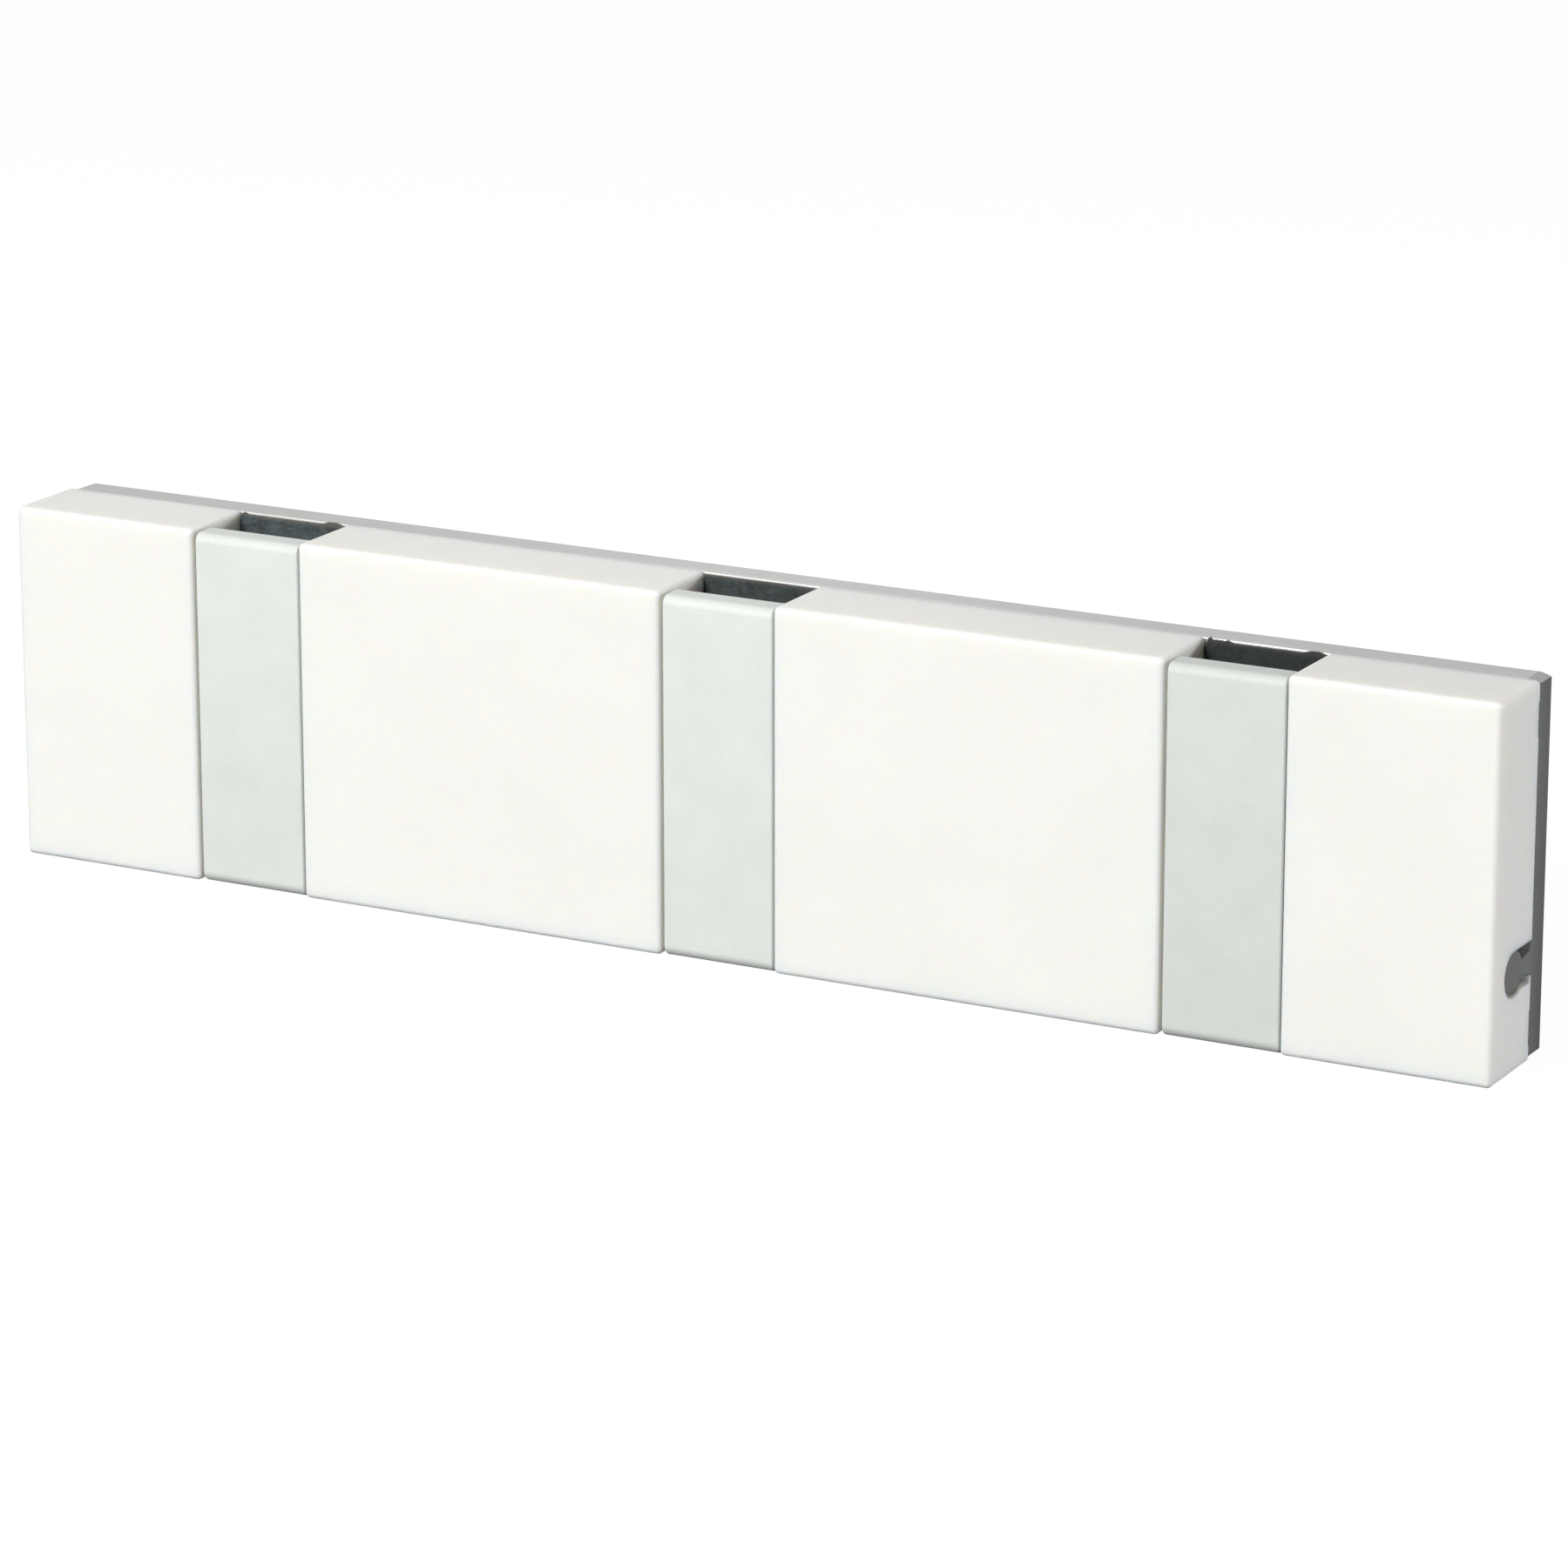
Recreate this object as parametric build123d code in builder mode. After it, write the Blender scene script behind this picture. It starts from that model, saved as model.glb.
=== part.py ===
"""Hook rail: an extruded back rail, four blocks and three fold-out hooks that swing on the rail's bead.

Units are millimetres. X runs along the rail, +Y points to the wall and Z is up.
The origin is the middle of the rail's back face, where it meets the wall.
"""
from build123d import *

import os
from math import asin, degrees

# Layout along the rail. The hooks have side play on the bead and rest a little right of the middle
hook_pitch = 100.0
hook_width = 22.35
hook_side_gap = 0.475
hook_rest_shift = 0.3
end_block_width = 39.5
rail_end_inset = 0.4

# Blocks
block_height = 68.5
block_depth = 17.5
block_edge_radius = 1.0
block_back_chamfer = 0.3

# Back rail, with two shallow lands that key the blocks
rail_thickness = 6.0
rail_edge_radius = 0.5
rail_corner_run = 2.1
rail_corner_drop = 0.75
land_height = 5.6
land_proud = 0.5
land_from_edge = 3.8
land_clearance = 0.05
land_play_below = 0.7

# Hinge bead, carried in front of the rail by a tapered neck
bead_radius = 3.9
bead_from_front = 10.0
bead_from_bottom = 18.15
neck_tip = 1.55
neck_root = 4.3
neck_root_fillet = 0.2
hook_bead_clearance = 0.06

# Groove in the blocks for the bead, with a lip under the neck
block_bead_clearance = 0.25
groove_front_room = 0.8
groove_floor_drop = 3.5
groove_lip = 0.8
lip_neck_clearance = 0.25

# Hooks: a thick arm above the socket, and below it a thin heel that leaves room to swing
hook_arm = 5.6
hook_heel = 3.6
hook_below_top = 0.55
hook_nose_radius = 1.7
hook_heel_radius = 2.1
hook_back_chamfer = 0.4
hook_edge_radius = 0.3
hook_opening = 42.5
socket_wall = 2.2
socket_web_fillet = 2.5
lip_radius = 0.6
mouth_clearance = 4.5

# Wall screws, one behind each outer hook
screw_hole_radius = 2.25
screw_head_radius = 4.25
screw_head_angle = 90.0
screw_above_middle = 18.0

# Felt pads that line the slots behind the hooks
felt_thickness = 1.0
felt_side_gap = 0.2
felt_below_top = 0.55
felt_above_socket = 1.0
felt_screw_clearance = 1.0

# Places that follow from the sizes above
slot_width = hook_width + 2 * hook_side_gap
half_length = hook_pitch + slot_width / 2 + end_block_width
rail_length = 2 * (half_length - rail_end_inset)
top_z = block_height / 2
bottom_z = -top_z
rail_front_y = -rail_thickness
front_y = rail_front_y - block_depth
bead_y = front_y + bead_from_front
bead_z = bottom_z + bead_from_bottom
bead_centre = (bead_y, bead_z)
neck_length = rail_front_y - bead_y
land_z = top_z - land_from_edge - land_height / 2
land_centres = [(rail_front_y, land_z), (rail_front_y, -land_z)]
hook_top_z = top_z - hook_below_top
arm_back_y = front_y + hook_arm
heel_back_y = front_y + hook_heel
socket_bore = bead_radius + hook_bead_clearance
socket_radius = socket_bore + socket_wall
neck_half_at_bore = (neck_tip + (neck_root - neck_tip) * socket_bore / neck_length) / 2
mouth_half_angle = degrees(asin(neck_half_at_bore / socket_bore)) + mouth_clearance
mouth_angle = hook_opening + 2 * mouth_half_angle
felt_top_z = top_z - felt_below_top
felt_bottom_z = bead_z + socket_radius + felt_above_socket
hook_places = {"left": -hook_pitch, "middle": 0.0, "right": hook_pitch}
screw_places = [(hook_places[name], screw_above_middle) for name in ("left", "right")]
block_spans = {
    "end_block_left": (-half_length, -hook_pitch - slot_width / 2),
    "inner_block_left": (-hook_pitch + slot_width / 2, -slot_width / 2),
    "inner_block_right": (slot_width / 2, hook_pitch - slot_width / 2),
    "end_block_right": (hook_pitch + slot_width / 2, half_length),
}

os.makedirs("parts", exist_ok=True)

# Back rail: one extrusion of plate, lands, neck and bead, cut to length with clipped corners
with BuildPart() as rail:
    with BuildSketch(Plane.YZ.offset(-rail_length / 2)) as rail_profile:
        with Locations((rail_front_y / 2, 0)):
            Rectangle(rail_thickness, block_height)
        fillet(rail_profile.vertices(), rail_edge_radius)
        with Locations(*land_centres):
            Rectangle(2 * land_proud, land_height)
        with BuildLine():
            Polyline(
                (rail_front_y, bead_z - neck_root / 2),
                (bead_y, bead_z - neck_tip / 2),
                (bead_y, bead_z + neck_tip / 2),
                (rail_front_y, bead_z + neck_root / 2),
                close=True,
            )
        make_face()
        for side in (-1, 1):
            neck_corner = (rail_front_y, bead_z + side * neck_root / 2)
            fillet(rail_profile.vertices().sort_by_distance(neck_corner)[0], neck_root_fillet)
        with Locations(bead_centre):
            Circle(bead_radius)
    extrude(amount=rail_length)
    with BuildSketch(Plane.XZ):
        with BuildLine():
            Polyline(
                (rail_length / 2, top_z),
                (rail_length / 2 - rail_corner_run, top_z),
                (rail_length / 2, top_z - rail_corner_drop),
                close=True,
            )
        make_face()
        mirror(about=Plane.YZ)
        mirror(about=Plane.XZ)
    extrude(amount=rail_thickness, mode=Mode.SUBTRACT)
    with Locations(*[Location((x, rail_front_y, z), (90, 0, 0)) for x, z in screw_places]):
        CounterSinkHole(screw_hole_radius, screw_head_radius, rail_thickness, screw_head_angle)
rail.part.label = "rail"
export_step(rail.part, "parts/rail.step")

# Blocks: rounded on the front and sides, grooved at the back for the bead and the lands
groove_radius = bead_radius + block_bead_clearance
groove_top_z = bead_z + groove_radius
groove_floor_z = bead_z - groove_floor_drop
groove_lip_z = bead_z - neck_root / 2 - lip_neck_clearance
land_groove_depth = land_proud + land_clearance
land_groove_height = land_height + land_clearance + land_play_below
land_groove_shift = (land_play_below - land_clearance) / 2

for block_name, (x_start, x_end) in block_spans.items():
    with BuildPart() as block:
        with BuildSketch(Plane.XZ.offset(rail_thickness)):
            with Locations(((x_start + x_end) / 2, 0)):
                Rectangle(x_end - x_start, block_height)
        extrude(amount=block_depth)
        front_edges = block.faces().sort_by(Axis.Y)[0].edges()
        fillet(front_edges + block.edges().filter_by(Axis.Y), block_edge_radius)
        chamfer(block.faces().sort_by(Axis.Y)[-1].edges(), block_back_chamfer)
        with BuildSketch(Plane.YZ.offset(x_start)):
            with Locations((bead_y - groove_front_room / 2, bead_z)):
                SlotCenterToCenter(groove_front_room, 2 * groove_radius)
            with Locations((bead_y, groove_lip_z)):
                Rectangle(neck_length, groove_top_z - groove_lip_z, align=Align.MIN)
            with Locations((bead_y, groove_floor_z)):
                Rectangle(neck_length - groove_lip, groove_floor_drop, align=Align.MIN)
            with Locations(*[(y, z - land_groove_shift) for y, z in land_centres]):
                Rectangle(2 * land_groove_depth, land_groove_height)
        extrude(amount=x_end - x_start, mode=Mode.SUBTRACT)
    block.part.label = block_name
    export_step(block.part, f"parts/{block_name}.step")

# Hooks: arm and heel in front of a socket that wraps the bead and leaves a mouth for the neck
for place, x_middle in hook_places.items():
    with BuildPart() as hook:
        with BuildSketch(Plane.YZ.offset(x_middle + hook_rest_shift - hook_width / 2)) as hook_profile:
            with Locations((front_y, bead_z)):
                Rectangle(hook_arm, hook_top_z - bead_z, align=Align.MIN)
            with Locations((front_y, bottom_z)):
                Rectangle(hook_heel, bead_z - bottom_z, align=Align.MIN)
            fillet(hook_profile.vertices().sort_by_distance((front_y, hook_top_z))[0], hook_nose_radius)
            fillet(hook_profile.vertices().sort_by_distance((front_y, bottom_z))[0], hook_heel_radius)
            for back_corner in ((arm_back_y, hook_top_z), (heel_back_y, bottom_z)):
                chamfer(hook_profile.vertices().sort_by_distance(back_corner)[0], hook_back_chamfer)
            with Locations(((heel_back_y + bead_y) / 2, bead_z)):
                Rectangle(bead_y - heel_back_y, 2 * socket_radius)
            for web_corner in ((arm_back_y, bead_z + socket_radius), (heel_back_y, bead_z - socket_radius)):
                fillet(hook_profile.vertices().sort_by_distance(web_corner)[0], socket_web_fillet)
            with Locations(bead_centre):
                Circle(socket_radius)
                Circle(socket_bore, mode=Mode.SUBTRACT)
            with BuildLine():
                mouth = CenterArc(bead_centre, 2 * socket_radius, mouth_half_angle, -mouth_angle)
                Line(bead_centre, mouth @ 0)
                Line(bead_centre, mouth @ 1)
            make_face(mode=Mode.SUBTRACT)
            for lip_angle in (mouth_half_angle, mouth_half_angle - mouth_angle):
                lip_corner = Vector(*bead_centre) + Vector(socket_radius, 0).rotate(Axis.Z, lip_angle)
                fillet(hook_profile.vertices().sort_by_distance(lip_corner)[0], lip_radius)
        extrude(amount=hook_width)
        side_edges = hook.faces().filter_by(Axis.X).edges()
        front_rim = side_edges.filter_by_position(Axis.Y, front_y, heel_back_y - hook_back_chamfer)
        fillet(front_rim + side_edges.group_by(Axis.Z)[-1], hook_edge_radius)
    hook.part.label = f"hook_{place}"
    export_step(hook.part, f"parts/hook_{place}.step")

# Felt pads: on the rail behind each hook, cleared for the upper land and for the screw heads
for place, x_middle in hook_places.items():
    with BuildPart() as felt_pad:
        with BuildSketch(Plane.XZ.offset(rail_thickness)):
            with Locations((x_middle, (felt_top_z + felt_bottom_z) / 2)):
                Rectangle(slot_width - 2 * felt_side_gap, felt_top_z - felt_bottom_z)
            with Locations(*screw_places):
                Circle(screw_head_radius + felt_screw_clearance, mode=Mode.SUBTRACT)
        extrude(amount=felt_thickness)
        with BuildSketch(Plane.YZ.offset(x_middle - slot_width / 2)):
            with Locations(*land_centres):
                Rectangle(2 * land_groove_depth, land_height + 2 * land_clearance)
        extrude(amount=slot_width, mode=Mode.SUBTRACT)
    felt_pad.part.label = f"felt_pad_{place}"
    export_step(felt_pad.part, f"parts/felt_pad_{place}.step")
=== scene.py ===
"""Looks of the hook rail: materials for the solids, felt pads with fibres, light, floor and camera.

Everything is in metres, in the frame of the solids: X along the rail, +Y to the wall, Z up.
"""
import math
import random

import bmesh
import bpy
from mathutils import Matrix, Vector, noise


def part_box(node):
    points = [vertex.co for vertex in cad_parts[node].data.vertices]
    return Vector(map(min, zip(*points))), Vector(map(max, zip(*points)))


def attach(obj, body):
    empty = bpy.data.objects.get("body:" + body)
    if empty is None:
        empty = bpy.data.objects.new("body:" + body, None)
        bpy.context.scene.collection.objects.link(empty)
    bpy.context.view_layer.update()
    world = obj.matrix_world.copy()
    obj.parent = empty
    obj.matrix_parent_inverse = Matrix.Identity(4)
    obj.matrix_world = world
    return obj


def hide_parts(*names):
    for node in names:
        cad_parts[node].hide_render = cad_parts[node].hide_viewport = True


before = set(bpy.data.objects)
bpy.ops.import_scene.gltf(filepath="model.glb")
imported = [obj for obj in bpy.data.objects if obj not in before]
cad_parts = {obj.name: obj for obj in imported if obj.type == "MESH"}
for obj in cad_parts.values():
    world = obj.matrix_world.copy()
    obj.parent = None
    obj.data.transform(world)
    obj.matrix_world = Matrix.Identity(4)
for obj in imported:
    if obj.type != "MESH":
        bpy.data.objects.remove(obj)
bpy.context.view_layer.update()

MM = 0.001

# Camera at the photograph's viewing angle
camera_azimuth = math.radians(28.246)
camera_elevation = math.radians(15.881)
camera_distance = 1.16702
camera_target = Vector((0.0121, -0.0200, 0.00067))
camera_lens = 148.934
camera_sensor = 36.0

# Lamps: place, aim, width, power in watts and colour
lamps = {
    "key": ((-0.55, -2.11, 1.155), (0, 0, 0), 0.7, 64.8, (1.0, 0.99, 0.965)),
    "fill_front": ((1.25, -0.50, 0.02), (0, 0, 0), 0.1, 2.75, (0.99, 0.99, 1.0)),
    "fill_back": ((1.0, 0.55, 0.20), (0, 0, 0.02), 0.12, 4.8, (0.99, 0.99, 1.0)),
    "top_left": ((-0.13, 0.20, 0.30), (-0.13, 0, 0.034), 0.16, 0.23, (1.0, 0.99, 0.97)),
    "top_right": ((0.13, 0.20, 0.30), (0.13, 0, 0.034), 0.16, 0.045, (1.0, 0.99, 0.97)),
}

# Light from all around, and the floor, which looks white away from the shadow
white = (1, 1, 1, 1)
ambient_colour = (1.0, 0.985, 0.955, 1)
ambient_strength = 0.10
floor_colour = (0.13, 0.13, 0.13, 1)
floor_glow = 0.94
floor_half_width = 8.0

# Sizes read from the solids
hook_names = ("left", "middle", "right")
block_names = ("end_block_left", "inner_block_left", "inner_block_right", "end_block_right")
rail_low, rail_high = (Vector(corner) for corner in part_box("rail"))
felt_boxes = {name: [Vector(c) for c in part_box(f"felt_pad_{name}")] for name in hook_names}
felt_top_z = felt_boxes["middle"][1].z
floor_z = rail_low.z

# Sizes repeated from the solids, for what the boxes do not give
land_from_edge = 3.8 * MM
land_height = 5.6 * MM
land_proud = 0.5 * MM
land_clearance = 0.05 * MM
land_middle_z = rail_high.z - land_from_edge - land_height / 2
screw_z = 18.0 * MM
felt_hole_radius = 5.25 * MM

# Spans of a noise that become a whole range of tones or roughness: a narrower span has more contrast
wide_span = (0.3, 0.7)
narrow_span = (0.35, 0.65)
hook_span = (0.38, 0.62)
felt_span = (0.38, 0.64)

# Blocks: two tones of the clouding, the sanded grain, and the depth and tint of the light inside
block_tones = ((0.866, 0.874, 0.850, 1), (0.886, 0.895, 0.874, 1))
block_roughness = (0.50, 0.60)
block_grain_depth = 0.006 * MM
block_light_depth = 3.5 * MM
block_light_tint = (1.0, 0.80, 0.56)

# Hooks: two tones of the grain, each hook's painted lighting gain, and painted shade downwards and at the
# rounded heel
hook_tones = ((0.663, 0.699, 0.681, 1), (0.735, 0.774, 0.756, 1))
hook_roughness = (0.66, 0.76)
hook_grain_depth = 0.012 * MM
hook_painted_light_gains = {"left": 1.03, "middle": 1.045, "right": 0.95}
hook_painted_shade_factor = 0.935
hook_painted_shade_span = (-34.0 * MM, 30.0 * MM)
heel_painted_shade_factor = 0.76
heel_painted_shade_height = 2.1 * MM

# Rail: two tones of the extruded sides, and the depth and spacing of their lines
rail_tones = ((0.410, 0.420, 0.412, 1), (0.486, 0.496, 0.488, 1))
rail_roughness = (0.36, 0.46)
rail_line_depth = 0.008 * MM
rail_line_scales = (6.0, 4200.0, 4200.0)

# Sawn ends of the rail: painted shade that darkens them to the wall and downwards, and a little of their
# tone on the clipped corners
sawn_tones = ((0.050, 0.057, 0.053, 1), (0.074, 0.082, 0.078, 1))
sawn_line_scales = (0.0, 2600.0, 60.0)
sawn_painted_shade_tone = (0.006, 0.007, 0.006, 1)
sawn_painted_shade_depth_span = (-7.0 * MM, -1.0 * MM)
sawn_painted_shade_depth_share = 0.62
sawn_painted_shade_height_span = (-34.0 * MM, 10.0 * MM)
sawn_painted_shade_low_gain = 1.6
sawn_end_margin = 0.02 * MM
clipped_slant = 0.2
clipped_share = 0.3

# Felt: dark and light tone of the sheet, of the wisps on it and of the threads at its cut top edge
felt_tones = {
    "felt": ((0.022, 0.029, 0.032, 1), (0.072, 0.092, 0.097, 1)),
    "felt_wisps": ((0.090, 0.105, 0.112, 1), (0.205, 0.230, 0.240, 1)),
    # The edge threads' tan tone is their own colour, made lighter as painted light where the cut top edge
    # catches the light
    "felt_edge": ((0.120, 0.098, 0.074, 1), (0.215, 0.182, 0.144, 1)),
}

# Texture of the felt, the painted tan highlight below its top edge, and the painted shade tone that darkens
# it along the rail
felt_wisp_scales = (900.0, 900.0, 1500.0)
felt_wisp_depth = 0.12 * MM
felt_painted_highlight_height = 0.5 * MM
felt_painted_highlight_tone = (0.165, 0.146, 0.120, 1)
felt_painted_highlight_share = 0.4
felt_painted_shade_tone = (0.004, 0.005, 0.004, 1)
felt_painted_shade_span = (-100.0 * MM, 100.0 * MM)
felt_painted_shade_share = 0.73

# Felt sheet: the mesh's cell, the room round the land, the soft edges and the spread to the slot's walls
felt_cell = 0.45 * MM
felt_land_gap = 0.5 * MM
felt_edge_round = 0.15 * MM
felt_edge_reach = 0.7 * MM
felt_side_spread = 0.15 * MM
felt_corner_size = 1.4 * MM

# Points near the rim of the screw head's hole move onto it, and cells inside the rim are left open
hole_rim_reach = 0.71 * felt_cell
hole_rim_margin = 0.001 * MM

# Relief of the felt's front: coarse and fine bumps per mm, and the step that gives each pad its own pattern
felt_relief = 0.10 * MM
coarse_bumps = 0.7
fine_bumps = 2.1
fine_bump_share = 0.6
relief_step = 31.0

# Ripple of a pad's top edge: height in mm, waves per mm, and the step from pad to pad
ripple_height = 0.06
ripple_waves = 4.0
ripple_step = 5.0

# Where a pad's top edge frays: place along the slot, half width and height of each tuft, in mm
felt_tufts = {
    "left": ((-10.8, 0.3, 0.40), (8.7, 1.9, 0.50)),
    "middle": ((3.0, 2.5, 0.05),),
    "right": ((-10.7, 0.3, 0.45), (-9.0, 1.7, 0.25), (-7.2, 0.3, 0.45), (9.4, 1.8, 0.45)),
}
tuft_steepness = 4

# How much of a pad's upper left corner is cut away, in mm
felt_corner_cuts = {"left": 0.15, "middle": 0.10, "right": 0.75}

# Fibres: points along a thread, sides round it, how thin its tips are, and what its sides are turned by
fibre_seed = 11
fibre_points = 5
fibre_sides = 3
fibre_faces = fibre_sides * (fibre_points - 1) + 2
fibre_tip = 0.35
fibre_roll = Vector((0.3, 1.0, 0.2))

# Wisps that lie on the felt: steps, lift and radii in mm, bend in radians for each step
wisp_count = 900
wisp_edge_margin = 1.0 * MM
wisp_top_margin = 0.4 * MM
wisp_hole_margin = 0.2 * MM
wisp_bend = 0.9
wisp_steps = (0.25, 0.6)
wisp_lift = 0.04
wisp_radii = (0.02, 0.045)

# Threads that stand on the felt's top edge: heights and radii in mm, lean as a share of the height
edge_fibre_count = 130
edge_side_margin = 0.3 * MM
edge_front_margin = 0.15 * MM
edge_back_margin = 0.35 * MM
edge_root = 0.12 * MM
edge_tuft_share = 0.6
edge_heights = (0.05, 0.22)
edge_lean = 0.6
edge_arc = math.pi / 2.2
edge_radii = (0.025, 0.05)


class Nodes:
    """Adds nodes to a tree. A value is set on a socket, and a socket is linked to it."""

    def __init__(self, tree):
        self.tree = tree
        tree.nodes.clear()

    def add(self, kind, settings=None, **inputs):
        node = self.tree.nodes.new(kind)
        for name, value in (settings or {}).items():
            setattr(node, name, value)
        for name, value in inputs.items():
            socket = self.socket(node, name)
            if isinstance(value, bpy.types.NodeSocket):
                self.tree.links.new(value, socket)
            else:
                socket.default_value = value
        return node

    def socket(self, node, name):
        """An input by its number, as in_0, or by its name with underscores for the spaces."""
        if name.startswith("in_"):
            return node.inputs[int(name.removeprefix("in_"))]
        return node.inputs[name.replace("_", " ")]

    def place(self):
        """Where a point of the surface lies in the frame, at rest."""
        return self.add("ShaderNodeTexCoord").outputs["Object"]

    def split(self, vector):
        """The X, Y and Z of a vector."""
        return self.add("ShaderNodeSeparateXYZ", Vector=vector).outputs

    def math(self, operation, a, b=0.0):
        return self.add("ShaderNodeMath", {"operation": operation}, in_0=a, in_1=b).outputs[0]

    def blended(self, a, b, share):
        """A share of a, and the rest of b."""
        return self.math("ADD", self.math("MULTIPLY", a, share), self.math("MULTIPLY", b, 1 - share))

    def ramp(self, value, span, result=(0.0, 1.0)):
        """Goes from one end of the result to the other as the value crosses the span."""
        node = self.add(
            "ShaderNodeMapRange", {"clamp": True},
            in_0=value, in_1=span[0], in_2=span[1], in_3=result[0], in_4=result[1],
        )
        return node.outputs[0]

    def mix_colour(self, factor, a, b):
        node = self.add("ShaderNodeMix", {"data_type": "RGBA"}, in_0=factor, in_6=a, in_7=b)
        return node.outputs[2]

    def mix_value(self, factor, a, b):
        node = self.add("ShaderNodeMix", {"data_type": "FLOAT"}, in_0=factor, in_2=a, in_3=b)
        return node.outputs[0]

    def noise(self, place, scale=1.0, detail=3.0, roughness=0.5):
        node = self.add("ShaderNodeTexNoise", Vector=place, Scale=scale, Detail=detail, Roughness=roughness)
        return node.outputs[0]

    def stretched(self, place, factors):
        node = self.add("ShaderNodeVectorMath", {"operation": "MULTIPLY"}, in_0=place, in_1=factors)
        return node.outputs[0]

    def scaled(self, vector, factor):
        node = self.add("ShaderNodeVectorMath", {"operation": "SCALE"}, Vector=vector, Scale=factor)
        return node.outputs[0]

    def bump(self, height, distance):
        return self.add("ShaderNodeBump", Strength=1.0, Distance=distance, Height=height).outputs[0]


def new_material(name):
    material = bpy.data.materials.new(name)
    material.use_nodes = True
    return material, Nodes(material.node_tree)


def finish_surface(nodes, shader):
    nodes.add("ShaderNodeOutputMaterial", Surface=shader.outputs[0])


def make_block_white():
    """Warm white satin plastic: faint clouding, a fine sanded surface and a little light inside."""
    material, nodes = new_material("block_white")
    place = nodes.place()
    clouds = nodes.noise(place, scale=45.0, detail=4.0)
    patches = nodes.noise(place, scale=260.0)
    grain = nodes.noise(place, scale=5200.0, detail=2.0)
    shader = nodes.add(
        "ShaderNodeBsdfPrincipled", {"subsurface_method": "RANDOM_WALK"},
        Base_Color=nodes.mix_colour(nodes.ramp(clouds, narrow_span), *block_tones),
        Roughness=nodes.ramp(patches, wide_span, block_roughness),
        Normal=nodes.bump(grain, block_grain_depth),
        Subsurface_Weight=0.85, Subsurface_Radius=block_light_tint, Subsurface_Scale=block_light_depth,
    )
    finish_surface(nodes, shader)
    return material


def make_hook_aluminium(name, gain):
    """Bead-blasted, clear anodised aluminium: an even silver grain, with painted shade downwards and at the
    rounded heel, and each hook lighter or darker by its painted lighting gain.
    """
    material, nodes = new_material(name)
    place = nodes.place()
    grain = nodes.noise(place, scale=3400.0, roughness=0.6)
    clouds = nodes.noise(place, scale=120.0)
    tone = nodes.blended(grain, clouds, share=0.7)
    colour = nodes.mix_colour(nodes.ramp(tone, hook_span), *hook_tones)
    up = nodes.split(place)["Z"]
    # Painted lighting: each hook's gain lightens or darkens it, and painted shade darkens it downwards
    level = nodes.ramp(up, hook_painted_shade_span, (hook_painted_shade_factor * gain, gain))
    # Painted shade on the rounded heel, which gets no light from below
    heel = nodes.ramp(up, (floor_z, floor_z + heel_painted_shade_height), (heel_painted_shade_factor, 1.0))
    shader = nodes.add(
        "ShaderNodeBsdfPrincipled",
        Base_Color=nodes.scaled(colour, nodes.math("MULTIPLY", level, heel)),
        Roughness=nodes.ramp(grain, wide_span, hook_roughness),
        Normal=nodes.bump(grain, hook_grain_depth),
        Metallic=0.06, Specular_IOR_Level=0.2,
    )
    finish_surface(nodes, shader)
    return material


def make_rail_aluminium():
    """Extruded, anodised aluminium: faint lines along the rail, and dark sawn ends with painted shade that
    darkens them to the wall and downwards.
    """
    material, nodes = new_material("rail_aluminium")
    place = nodes.place()
    spot = nodes.split(place)
    lines = nodes.noise(nodes.stretched(place, rail_line_scales))
    clouds = nodes.noise(place, scale=90.0)
    tone = nodes.blended(lines, clouds, share=0.6)
    side = nodes.mix_colour(nodes.ramp(tone, narrow_span), *rail_tones)
    saw_lines = nodes.noise(nodes.stretched(place, sawn_line_scales))
    sawn = nodes.mix_colour(nodes.ramp(saw_lines, wide_span), *sawn_tones)
    # Painted shade on the sawn ends: darker to the wall and downwards
    painted_shade_to_wall = nodes.ramp(spot["Y"], sawn_painted_shade_depth_span, (0.0, sawn_painted_shade_depth_share))
    painted_shade_downwards = nodes.ramp(spot["Z"], sawn_painted_shade_height_span, (sawn_painted_shade_low_gain, 1.0))
    sawn = nodes.mix_colour(nodes.math("MULTIPLY", painted_shade_to_wall, painted_shade_downwards), sawn, sawn_painted_shade_tone)
    facing = nodes.add("ShaderNodeNewGeometry").outputs["Normal"]
    sideways = nodes.math("ABSOLUTE", nodes.split(facing)["X"])
    clipped = nodes.math("GREATER_THAN", sideways, clipped_slant)
    side = nodes.mix_colour(nodes.math("MULTIPLY", clipped, clipped_share), side, sawn)
    from_middle = nodes.math("ABSOLUTE", spot["X"])
    at_end = nodes.math("GREATER_THAN", from_middle, rail_high.x - sawn_end_margin)
    shader = nodes.add(
        "ShaderNodeBsdfPrincipled",
        Base_Color=nodes.mix_colour(at_end, side, sawn),
        Roughness=nodes.ramp(tone, wide_span, rail_roughness),
        Normal=nodes.bump(nodes.mix_value(at_end, lines, saw_lines), rail_line_depth),
        Metallic=0.4, Specular_IOR_Level=0.3,
    )
    finish_surface(nodes, shader)
    return material


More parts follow.
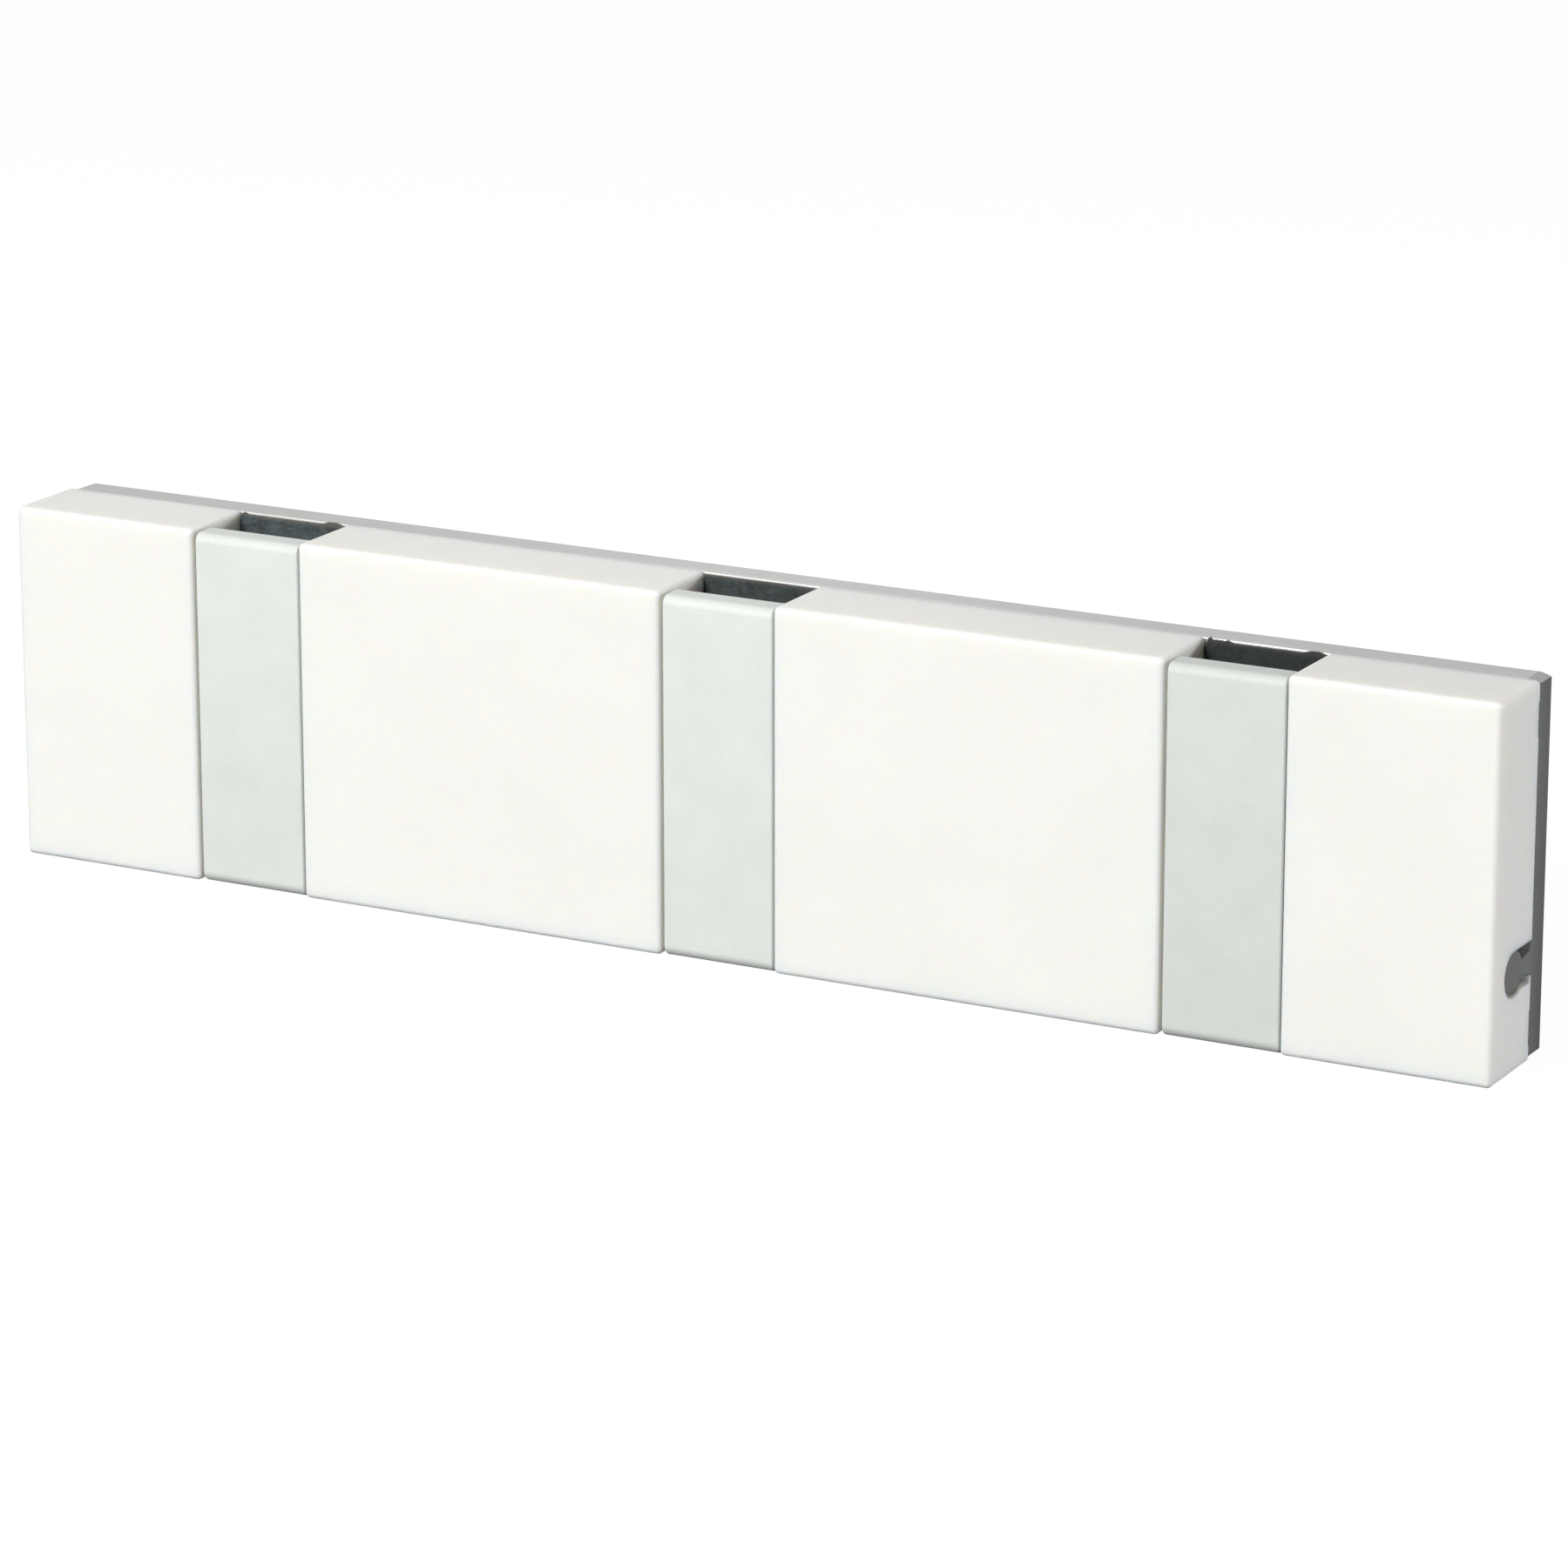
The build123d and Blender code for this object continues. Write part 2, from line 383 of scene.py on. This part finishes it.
def make_felt(name, dark, light):
    """Matted wool felt in two tones, with a painted tan highlight towards the cut top edge and painted shade
    that darkens it from left to right.
    """
    material, nodes = new_material(name)
    place = nodes.place()
    spot = nodes.split(place)
    wisps = nodes.noise(nodes.stretched(place, felt_wisp_scales), detail=5.0, roughness=0.65)
    clouds = nodes.noise(place, scale=240.0)
    tone = nodes.blended(wisps, clouds, share=0.65)
    colour = nodes.mix_colour(nodes.ramp(tone, felt_span), dark, light)
    # Painted highlight: a tan tone where the cut top edge catches the light
    fringe = nodes.ramp(spot["Z"], (felt_top_z - felt_painted_highlight_height, felt_top_z), (0.0, felt_painted_highlight_share))
    colour = nodes.mix_colour(fringe, colour, felt_painted_highlight_tone)
    # Painted shade: darker from left to right along the rail
    shade = nodes.ramp(spot["X"], felt_painted_shade_span, (0.0, felt_painted_shade_share))
    shader = nodes.add(
        "ShaderNodeBsdfPrincipled",
        Base_Color=nodes.mix_colour(shade, colour, felt_painted_shade_tone),
        Normal=nodes.bump(wisps, felt_wisp_depth),
        Roughness=0.95, Sheen_Weight=0.1, Sheen_Roughness=0.5,
    )
    finish_surface(nodes, shader)
    return material


def felt_middle(name):
    """X of a pad's middle."""
    low, high = felt_boxes[name]
    return (low.x + high.x) / 2


def felt_front(name, x, z):
    """Y of the felt's matted front at a place."""
    spot = Vector((x / MM, relief_step * hook_names.index(name), z / MM))
    bumps = noise.noise(coarse_bumps * spot) + fine_bump_share * noise.noise(fine_bumps * spot)
    return felt_boxes[name][0].y - felt_relief * bumps


def frayed_height(name, x):
    """How far the pad's top edge stands up at a place along it: a fine ripple and the flat-topped tufts."""
    along = (x - felt_middle(name)) / MM
    wave = Vector((ripple_waves * along, 0.0, ripple_step * hook_names.index(name)))
    height = ripple_height * noise.noise(wave)
    for middle, half_width, tall in felt_tufts[name]:
        height += tall * math.exp(-((along - middle) / half_width) ** tuft_steepness)
    return height * MM


def in_screw_hole(name, x, z, margin):
    """Whether a place lies in the hole for a screw head, which only the outer pads have."""
    from_hole = Vector((x - felt_middle(name), z - screw_z)).length
    return name != "middle" and from_hole < felt_hole_radius + margin


def nearness(distance, reach):
    """1 at an edge, and 0 from its reach on."""
    return max(0.0, 1 - distance / reach)


def felt_column(name, across, up):
    """Front and back point of the felt at shares 0 to 1 of its width and height."""
    low, high = felt_boxes[name]
    x = low.x + across * (high.x - low.x)
    z = low.z + up * (high.z - low.z)
    edge = min(x - low.x, high.x - x, z - low.z, high.z - z)
    softened = felt_edge_round * nearness(edge, felt_edge_reach) ** 2
    rising = nearness(high.z - z, felt_edge_reach)
    in_corner = nearness(x - low.x, felt_corner_size) * nearness(high.z - z, felt_corner_size)
    on_land = abs(z - land_middle_z) < land_height / 2 + felt_land_gap
    if name != "middle":
        from_hole = Vector((x - felt_middle(name), z - screw_z))
        if abs(from_hole.length - felt_hole_radius) < hole_rim_reach:
            from_hole *= felt_hole_radius / from_hole.length
            x, z = felt_middle(name) + from_hole.x, screw_z + from_hole.y
    front_y = felt_front(name, x, z) + softened
    back_y = high.y - (land_proud + land_clearance if on_land else 0.0)
    toward_wall = nearness(min(x - low.x, high.x - x), felt_edge_reach)
    x += math.copysign(felt_side_spread * toward_wall, x - felt_middle(name))
    x += in_corner * felt_corner_cuts[name] * MM
    z += rising * frayed_height(name, x)
    return Vector((x, front_y, z)), Vector((x, back_y, z))


def make_mesh_object(name, points, faces, material):
    mesh = bpy.data.meshes.new(name)
    mesh.from_pydata(points, [], faces)
    mesh.materials.append(material)
    mesh.shade_smooth()
    piece = bpy.data.objects.new(name, mesh)
    bpy.context.collection.objects.link(piece)
    return piece


def make_felt_sheet(name, material):
    """A closed sheet with a matted front, a back that steps over the land, and a hole for the screw head."""
    low, high = felt_boxes[name]
    columns = round((high.x - low.x) / felt_cell)
    rows = round((high.z - low.z) / felt_cell)
    points, faces, sides = [], [], {}
    # Points come in pairs: the back point follows its front point
    for row in range(rows + 1):
        for column in range(columns + 1):
            points += felt_column(name, column / columns, row / rows)
    for row in range(rows):
        for column in range(columns):
            corner = 2 * (row * (columns + 1) + column)
            above = corner + 2 * (columns + 1)
            loop = (corner, corner + 2, above + 2, above)
            if all(in_screw_hole(name, points[i].x, points[i].z, hole_rim_margin) for i in loop):
                continue
            faces += [loop, tuple(i + 1 for i in reversed(loop))]
            # A side shared by two cells drops out, so the sides that stay are the sheet's rims
            for a, b in zip(loop, loop[1:] + loop[:1]):
                if (b, a) in sides:
                    del sides[b, a]
                else:
                    sides[a, b] = (b, a, a + 1, b + 1)
    faces += sides.values()
    used = sorted({i for face in faces for i in face})
    renumber = {old: new for new, old in enumerate(used)}
    faces = [tuple(renumber[i] for i in face) for face in faces]
    return make_mesh_object(f"felt_sheet_{name}", [points[i] for i in used], faces, material)


def add_fibre(points, faces, path, radius):
    """A tapered thread, closed at both ends."""
    first = len(points)
    for i, spot in enumerate(path):
        ahead = path[min(i + 1, fibre_points - 1)] - path[max(i - 1, 0)]
        side = ahead.cross(fibre_roll).normalized()
        other = ahead.cross(side).normalized()
        swell = radius * (fibre_tip + (1 - fibre_tip) * math.sin(math.pi * i / (fibre_points - 1)))
        for turn in range(fibre_sides):
            angle = 2 * math.pi * turn / fibre_sides
            points.append(spot + swell * (math.cos(angle) * side + math.sin(angle) * other))
    last = len(points) - fibre_sides
    for here in range(first, last, fibre_sides):
        there = here + fibre_sides
        for a in range(fibre_sides):
            b = (a + 1) % fibre_sides
            faces.append((here + a, here + b, there + b, there + a))
    faces.append(tuple(reversed(range(first, first + fibre_sides))))
    faces.append(tuple(range(last, last + fibre_sides)))


def make_wisps(name, draw, material):
    """Loose wool threads that lie matted on the felt's front."""
    low, high = felt_boxes[name]
    points, faces = [], []
    while len(faces) < fibre_faces * wisp_count:
        x = draw.uniform(low.x + wisp_edge_margin, high.x - wisp_edge_margin)
        z = draw.uniform(low.z + wisp_edge_margin, high.z - wisp_top_margin)
        heading = draw.uniform(0, math.pi)
        bend = draw.uniform(-wisp_bend, wisp_bend)
        step = draw.uniform(*wisp_steps) * MM
        lift = draw.uniform(0.0, wisp_lift) * MM
        path = []
        for i in range(fibre_points):
            arch = lift * math.sin(math.pi * i / (fibre_points - 1))
            path.append(Vector((x, felt_front(name, x, z) - arch, z)))
            x += step * math.cos(heading)
            z += step * math.sin(heading)
            heading += bend
        inside = all(low.x < p.x < high.x and low.z < p.z < high.z for p in path)
        if inside and not any(in_screw_hole(name, p.x, p.z, wisp_hole_margin) for p in path):
            add_fibre(points, faces, path, draw.uniform(*wisp_radii) * MM)
    return make_mesh_object(f"felt_wisps_{name}", points, faces, material)


def make_edge_fibres(name, draw, material):
    """Threads that stand up from the cut top edge, taller in the tufts."""
    low, high = felt_boxes[name]
    points, faces = [], []
    for _ in range(edge_fibre_count):
        x = draw.uniform(low.x + edge_side_margin, high.x - edge_side_margin)
        tall = edge_tuft_share * frayed_height(name, x) + draw.uniform(*edge_heights) * MM
        y = draw.uniform(low.y + edge_front_margin, high.y - edge_back_margin)
        lean = draw.uniform(-edge_lean, edge_lean) * tall
        foot = high.z + frayed_height(name, x) - edge_root
        path = []
        for i in range(fibre_points):
            rise = i / (fibre_points - 1)
            path.append(Vector((x + lean * rise * rise, y, foot + tall * math.sin(edge_arc * rise))))
        add_fibre(points, faces, path, draw.uniform(*edge_radii) * MM)
    return make_mesh_object(f"felt_edge_{name}", points, faces, material)


def make_felt_pad(name, materials):
    """A felt sheet with its wisps and edge threads, in place of the plain pad."""
    draw = random.Random(fibre_seed + hook_names.index(name))
    sheet = make_felt_sheet(name, materials["felt"])
    wisps = make_wisps(name, draw, materials["felt_wisps"])
    edge = make_edge_fibres(name, draw, materials["felt_edge"])
    for piece in (sheet, wisps, edge):
        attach(piece, "rail")
    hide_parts(f"felt_pad_{name}")


def shown_to_eye(nodes):
    """1 for rays that show the background itself: seen straight on, in a reflection or through glass."""
    path = nodes.add("ShaderNodeLightPath").outputs
    mirrored = nodes.math("MAXIMUM", path["Is Glossy Ray"], path["Is Transmission Ray"])
    return nodes.math("MAXIMUM", path["Is Camera Ray"], mirrored)


def make_floor_material():
    """A pale floor that keeps the shadow and looks white away from it."""
    material, nodes = new_material("floor")
    strength = nodes.math("MULTIPLY", shown_to_eye(nodes), floor_glow)
    matte = nodes.add("ShaderNodeBsdfDiffuse", Color=floor_colour)
    glow = nodes.add("ShaderNodeEmission", Color=white, Strength=strength)
    both = nodes.add("ShaderNodeAddShader", in_0=matte.outputs[0], in_1=glow.outputs[0])
    finish_surface(nodes, both)
    return material


def make_world():
    """Faint light from all around, in front of a white background."""
    world = bpy.data.worlds.new("studio")
    world.use_nodes = True
    nodes = Nodes(world.node_tree)
    seen = shown_to_eye(nodes)
    fill = nodes.add("ShaderNodeBackground", Color=ambient_colour, Strength=ambient_strength)
    plain = nodes.add("ShaderNodeBackground", Color=white, Strength=1.0)
    both = nodes.add("ShaderNodeMixShader", in_0=seen, in_1=fill.outputs[0], in_2=plain.outputs[0])
    nodes.add("ShaderNodeOutputWorld", Surface=both.outputs[0])
    bpy.context.scene.world = world


def make_floor():
    mesh = bpy.data.meshes.new("floor")
    shape = bmesh.new()
    bmesh.ops.create_grid(shape, x_segments=1, y_segments=1, size=floor_half_width)
    shape.to_mesh(mesh)
    shape.free()
    floor = bpy.data.objects.new("floor", mesh)
    floor.location.z = floor_z
    mesh.materials.append(make_floor_material())
    bpy.context.collection.objects.link(floor)


def make_lamp(name, place, aim, width, power, colour):
    """A round area lamp."""
    lamp = bpy.data.lights.new(name, "AREA")
    lamp.shape = "DISK"
    lamp.size = width
    lamp.energy = power
    lamp.color = colour
    holder = bpy.data.objects.new(name, lamp)
    holder.location = place
    holder.rotation_euler = (Vector(aim) - Vector(place)).to_track_quat("-Z", "Y").to_euler()
    bpy.context.collection.objects.link(holder)


def make_camera():
    lens = bpy.data.cameras.new("camera")
    lens.lens = camera_lens
    lens.sensor_width = camera_sensor
    lens.sensor_fit = "HORIZONTAL"
    lens.clip_start = 0.01
    lens.clip_end = 100.0
    level = math.cos(camera_elevation)
    back = Vector((
        math.sin(camera_azimuth) * level,
        -math.cos(camera_azimuth) * level,
        math.sin(camera_elevation),
    ))
    right = Vector((math.cos(camera_azimuth), math.sin(camera_azimuth), 0.0))
    turn = Matrix((right, back.cross(right), back)).transposed().to_4x4()
    camera = bpy.data.objects.new("camera", lens)
    camera.matrix_world = Matrix.Translation(camera_target + camera_distance * back) @ turn
    bpy.context.collection.objects.link(camera)
    bpy.context.scene.camera = camera


def dress(node, material):
    """Gives a solid its material."""
    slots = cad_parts[node].data.materials
    slots.clear()
    slots.append(material)


block_white = make_block_white()
for name in block_names:
    dress(name, block_white)
for name in hook_names:
    dress(f"hook_{name}", make_hook_aluminium(f"hook_aluminium_{name}", hook_painted_light_gains[name]))
dress("rail", make_rail_aluminium())
felt_materials = {name: make_felt(name, *tones) for name, tones in felt_tones.items()}
for name in hook_names:
    make_felt_pad(name, felt_materials)

make_world()
make_floor()
for name, settings in lamps.items():
    make_lamp(name, *settings)
make_camera()
bpy.context.scene.view_settings.view_transform = "Standard"
